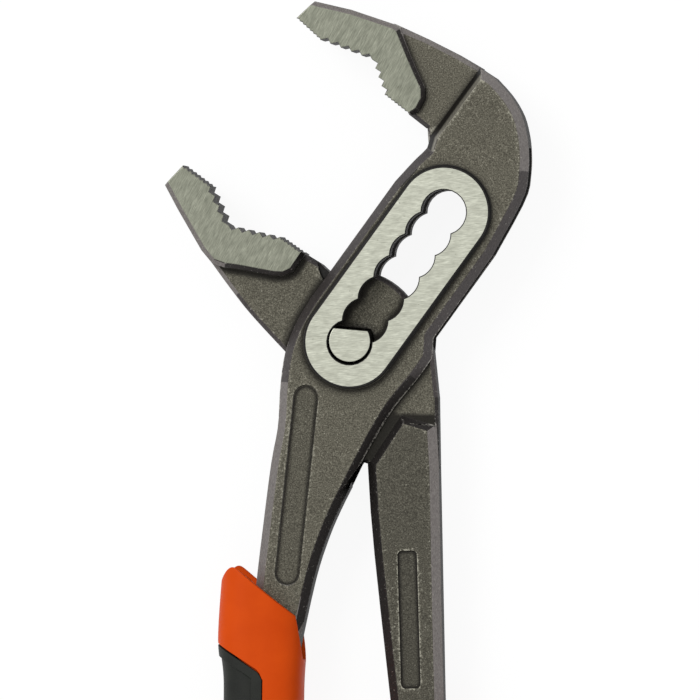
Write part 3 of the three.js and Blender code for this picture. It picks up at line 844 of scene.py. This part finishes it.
# %% Orange sleeves
WALL_GAP = 0.0028
SINK = 1.4
SIDE_COLUMNS, PAD_COLUMNS = 26, 56
MOUTH_ROWS, PAD_ROWS, FOOT_ROWS = 20, 70, 3
TIP_ROWS_FROM = 0.885
TIP_ROW_ANGLE = 8
SOCKET_LEFT = -6.3
SOCKET_RIGHT = 2.2
SOCKET_HALF = 5.5
SOCKET_DEPTH = 6.0
MOUTH_EDGE = 0.45 * MM
SEAM = 0.01 * MM


def shares(start, stop, count):
    return [start + (stop - start) * step / count for step in range(count + 1)]


def skin_sheet(columns, rows, sink):
    """A grid laid onto the skin, by its lists of shares around and along."""
    bm = bmesh.new()
    across, down = len(columns) - 1, len(rows) - 1
    bmesh.ops.create_grid(bm, x_segments=across, y_segments=down, size=1.0)
    for vert in bm.verts:
        around = columns[round((vert.co.x + 1) / 2 * across)]
        along = rows[round((vert.co.y + 1) / 2 * down)]
        vert.co = grip_point(around, along, sink(around, along))
    return bm


def under_pad(around, along):
    inside = PAD_SPLIT < around < 1 - PAD_SPLIT and PAD_TOP < along < PAD_FOOT
    return SINK if inside else 0.0


def sleeve_columns():
    half = WALL_GAP / 2
    low, high = PAD_SPLIT, 1 - PAD_SPLIT
    beside = shares(0, low - half, SIDE_COLUMNS)
    return beside + shares(low + half, high - half, PAD_COLUMNS) + shares(high + half, 1, SIDE_COLUMNS)


def sleeve_rows():
    half = WALL_GAP / 2
    rows = shares(0, PAD_TOP - half, MOUTH_ROWS) + shares(PAD_TOP + half, PAD_FOOT - half, PAD_ROWS)
    rows += shares(PAD_FOOT + half, TIP_ROWS_FROM, FOOT_ROWS)
    for angle in range(TIP_ROW_ANGLE, 91, TIP_ROW_ANGLE):
        rows.append(TIP_ROWS_FROM + (1 - TIP_ROWS_FROM) * math.sin(math.radians(angle)))
    return rows + [1.0]


def only(kind, parts):
    return [part for part in parts if isinstance(part, kind)]


def sleeve_mesh():
    bm = skin_sheet(sleeve_columns(), sleeve_rows(), under_pad)
    bmesh.ops.remove_doubles(bm, verts=bm.verts, dist=SEAM)
    rim = [edge for edge in bm.edges if edge.is_boundary]
    ledge = bmesh.ops.extrude_edge_only(bm, edges=rim)["geom"]
    for vert in only(bmesh.types.BMVert, ledge):
        vert.co.y += MOUTH_SLANT * max(0.0, SOCKET_LEFT * MM - vert.co.x)
        vert.co.x = min(max(vert.co.x, SOCKET_LEFT * MM), SOCKET_RIGHT * MM)
        vert.co.z = min(max(vert.co.z, -SOCKET_HALF * MM), SOCKET_HALF * MM)
    inner = [edge for edge in only(bmesh.types.BMEdge, ledge) if edge.is_boundary]
    socket = bmesh.ops.extrude_edge_only(bm, edges=inner)["geom"]
    bmesh.ops.translate(bm, vec=(0, -SOCKET_DEPTH * MM, 0), verts=only(bmesh.types.BMVert, socket))
    bmesh.ops.edgeloop_fill(bm, edges=[edge for edge in bm.edges if edge.is_boundary])
    round_edges(bm, rim, MOUTH_EDGE, segments=3, clamp=True)
    return bm


print("grid of a sleeve:", len(sleeve_columns()), "columns and", len(sleeve_rows()), "rows")

# %% [markdown]
# The pad is a smaller sheet of the same skin, solidified inwards. Its middle is a panel that lies a little
# deeper than its border, with a short slope between them. An inset would make that panel too, but close
# pairs of columns and rows keep the slope even round the bend.

# %% Dark pads
PANEL_SINK = 0.4
PANEL_EDGE = 0.042
PANEL_TOP = 0.022
PAD_THICKNESS = 1.0


def panel_sink(around, along):
    inside_around = PAD_SPLIT + PANEL_EDGE < around < 1 - PAD_SPLIT - PANEL_EDGE
    inside_along = PAD_TOP + PANEL_TOP < along < PAD_FOOT - PANEL_TOP
    return PANEL_SINK if inside_around and inside_along else 0.0


def stepped(start, stop, edge, slope, border, middle):
    """Shares from start to stop with a close pair at each edge of the panel between them."""
    first, last = start + edge, stop - edge
    return (
        shares(start + 2 * slope, first - slope, border)
        + shares(first + slope, last - slope, middle)
        + shares(last + slope, stop - 2 * slope, border)
    )


def pad_mesh():
    columns = stepped(PAD_SPLIT, 1 - PAD_SPLIT, PANEL_EDGE, slope=0.0018, border=5, middle=60)
    rows = stepped(PAD_TOP, PAD_FOOT, PANEL_TOP, slope=0.0014, border=4, middle=80)
    bm = skin_sheet(columns, rows, panel_sink)
    bmesh.ops.recalc_face_normals(bm, faces=bm.faces)
    outward = sum((face.normal.x for face in bm.faces), 0.0) < 0
    bmesh.ops.solidify(bm, geom=bm.faces[:], thickness=(PAD_THICKNESS if outward else -PAD_THICKNESS) * MM)
    return bm


print("a pad is", PAD_THICKNESS, "mm thick, in a hollow of", SINK, "mm")

# %% [markdown]
# Both mouldings are made in the grip's frame and put on each handle: as they are on the slotted lever, and
# mirrored on the through lever, whose handle also leans a little. A Mirror modifier couldn't lean the copy,
# so a matrix does both. A mirrored mesh is inside out, so its normals are worked out again.

# %% Grips on both handles
CREASE = math.radians(35)
HANDLES = {
    "slotted": {"mouth": (-12.7, -48.5), "turn": 0.0, "side": 1},
    "through": {"mouth": (13.6, -77.0), "turn": math.radians(2.5), "side": -1},
}


def moulding(name, bm, handle, material):
    x, y = handle["mouth"]
    place = Matrix.Translation((x * MM, y * MM, MID_PLANE)) @ Matrix.Rotation(handle["turn"], 4, "Z")
    bmesh.ops.transform(bm, matrix=place @ Matrix.Diagonal((handle["side"], 1, 1, 1)), verts=bm.verts)
    bmesh.ops.recalc_face_normals(bm, faces=bm.faces)
    for face in bm.faces:
        face.smooth = True
    for edge in bm.edges:
        edge.smooth = len(edge.link_faces) == 2 and edge.calc_face_angle() < CREASE
    piece = object_from(bm, name)
    piece.data.materials.append(material)
    print(name, "faces:", len(piece.data.polygons))
    return piece


for lever, handle in HANDLES.items():
    sleeve = moulding(lever + "_sleeve_moulded", sleeve_mesh(), handle, ORANGE)
    pad = moulding(lever + "_pad_moulded", pad_mesh(), handle, GREY)
    for piece, part, slot in ((sleeve, "_grip_sleeve", "grip_shell"), (pad, "_grip_pad", "grip_pad")):
        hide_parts(lever + part)
        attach(piece, lever + "_lever")
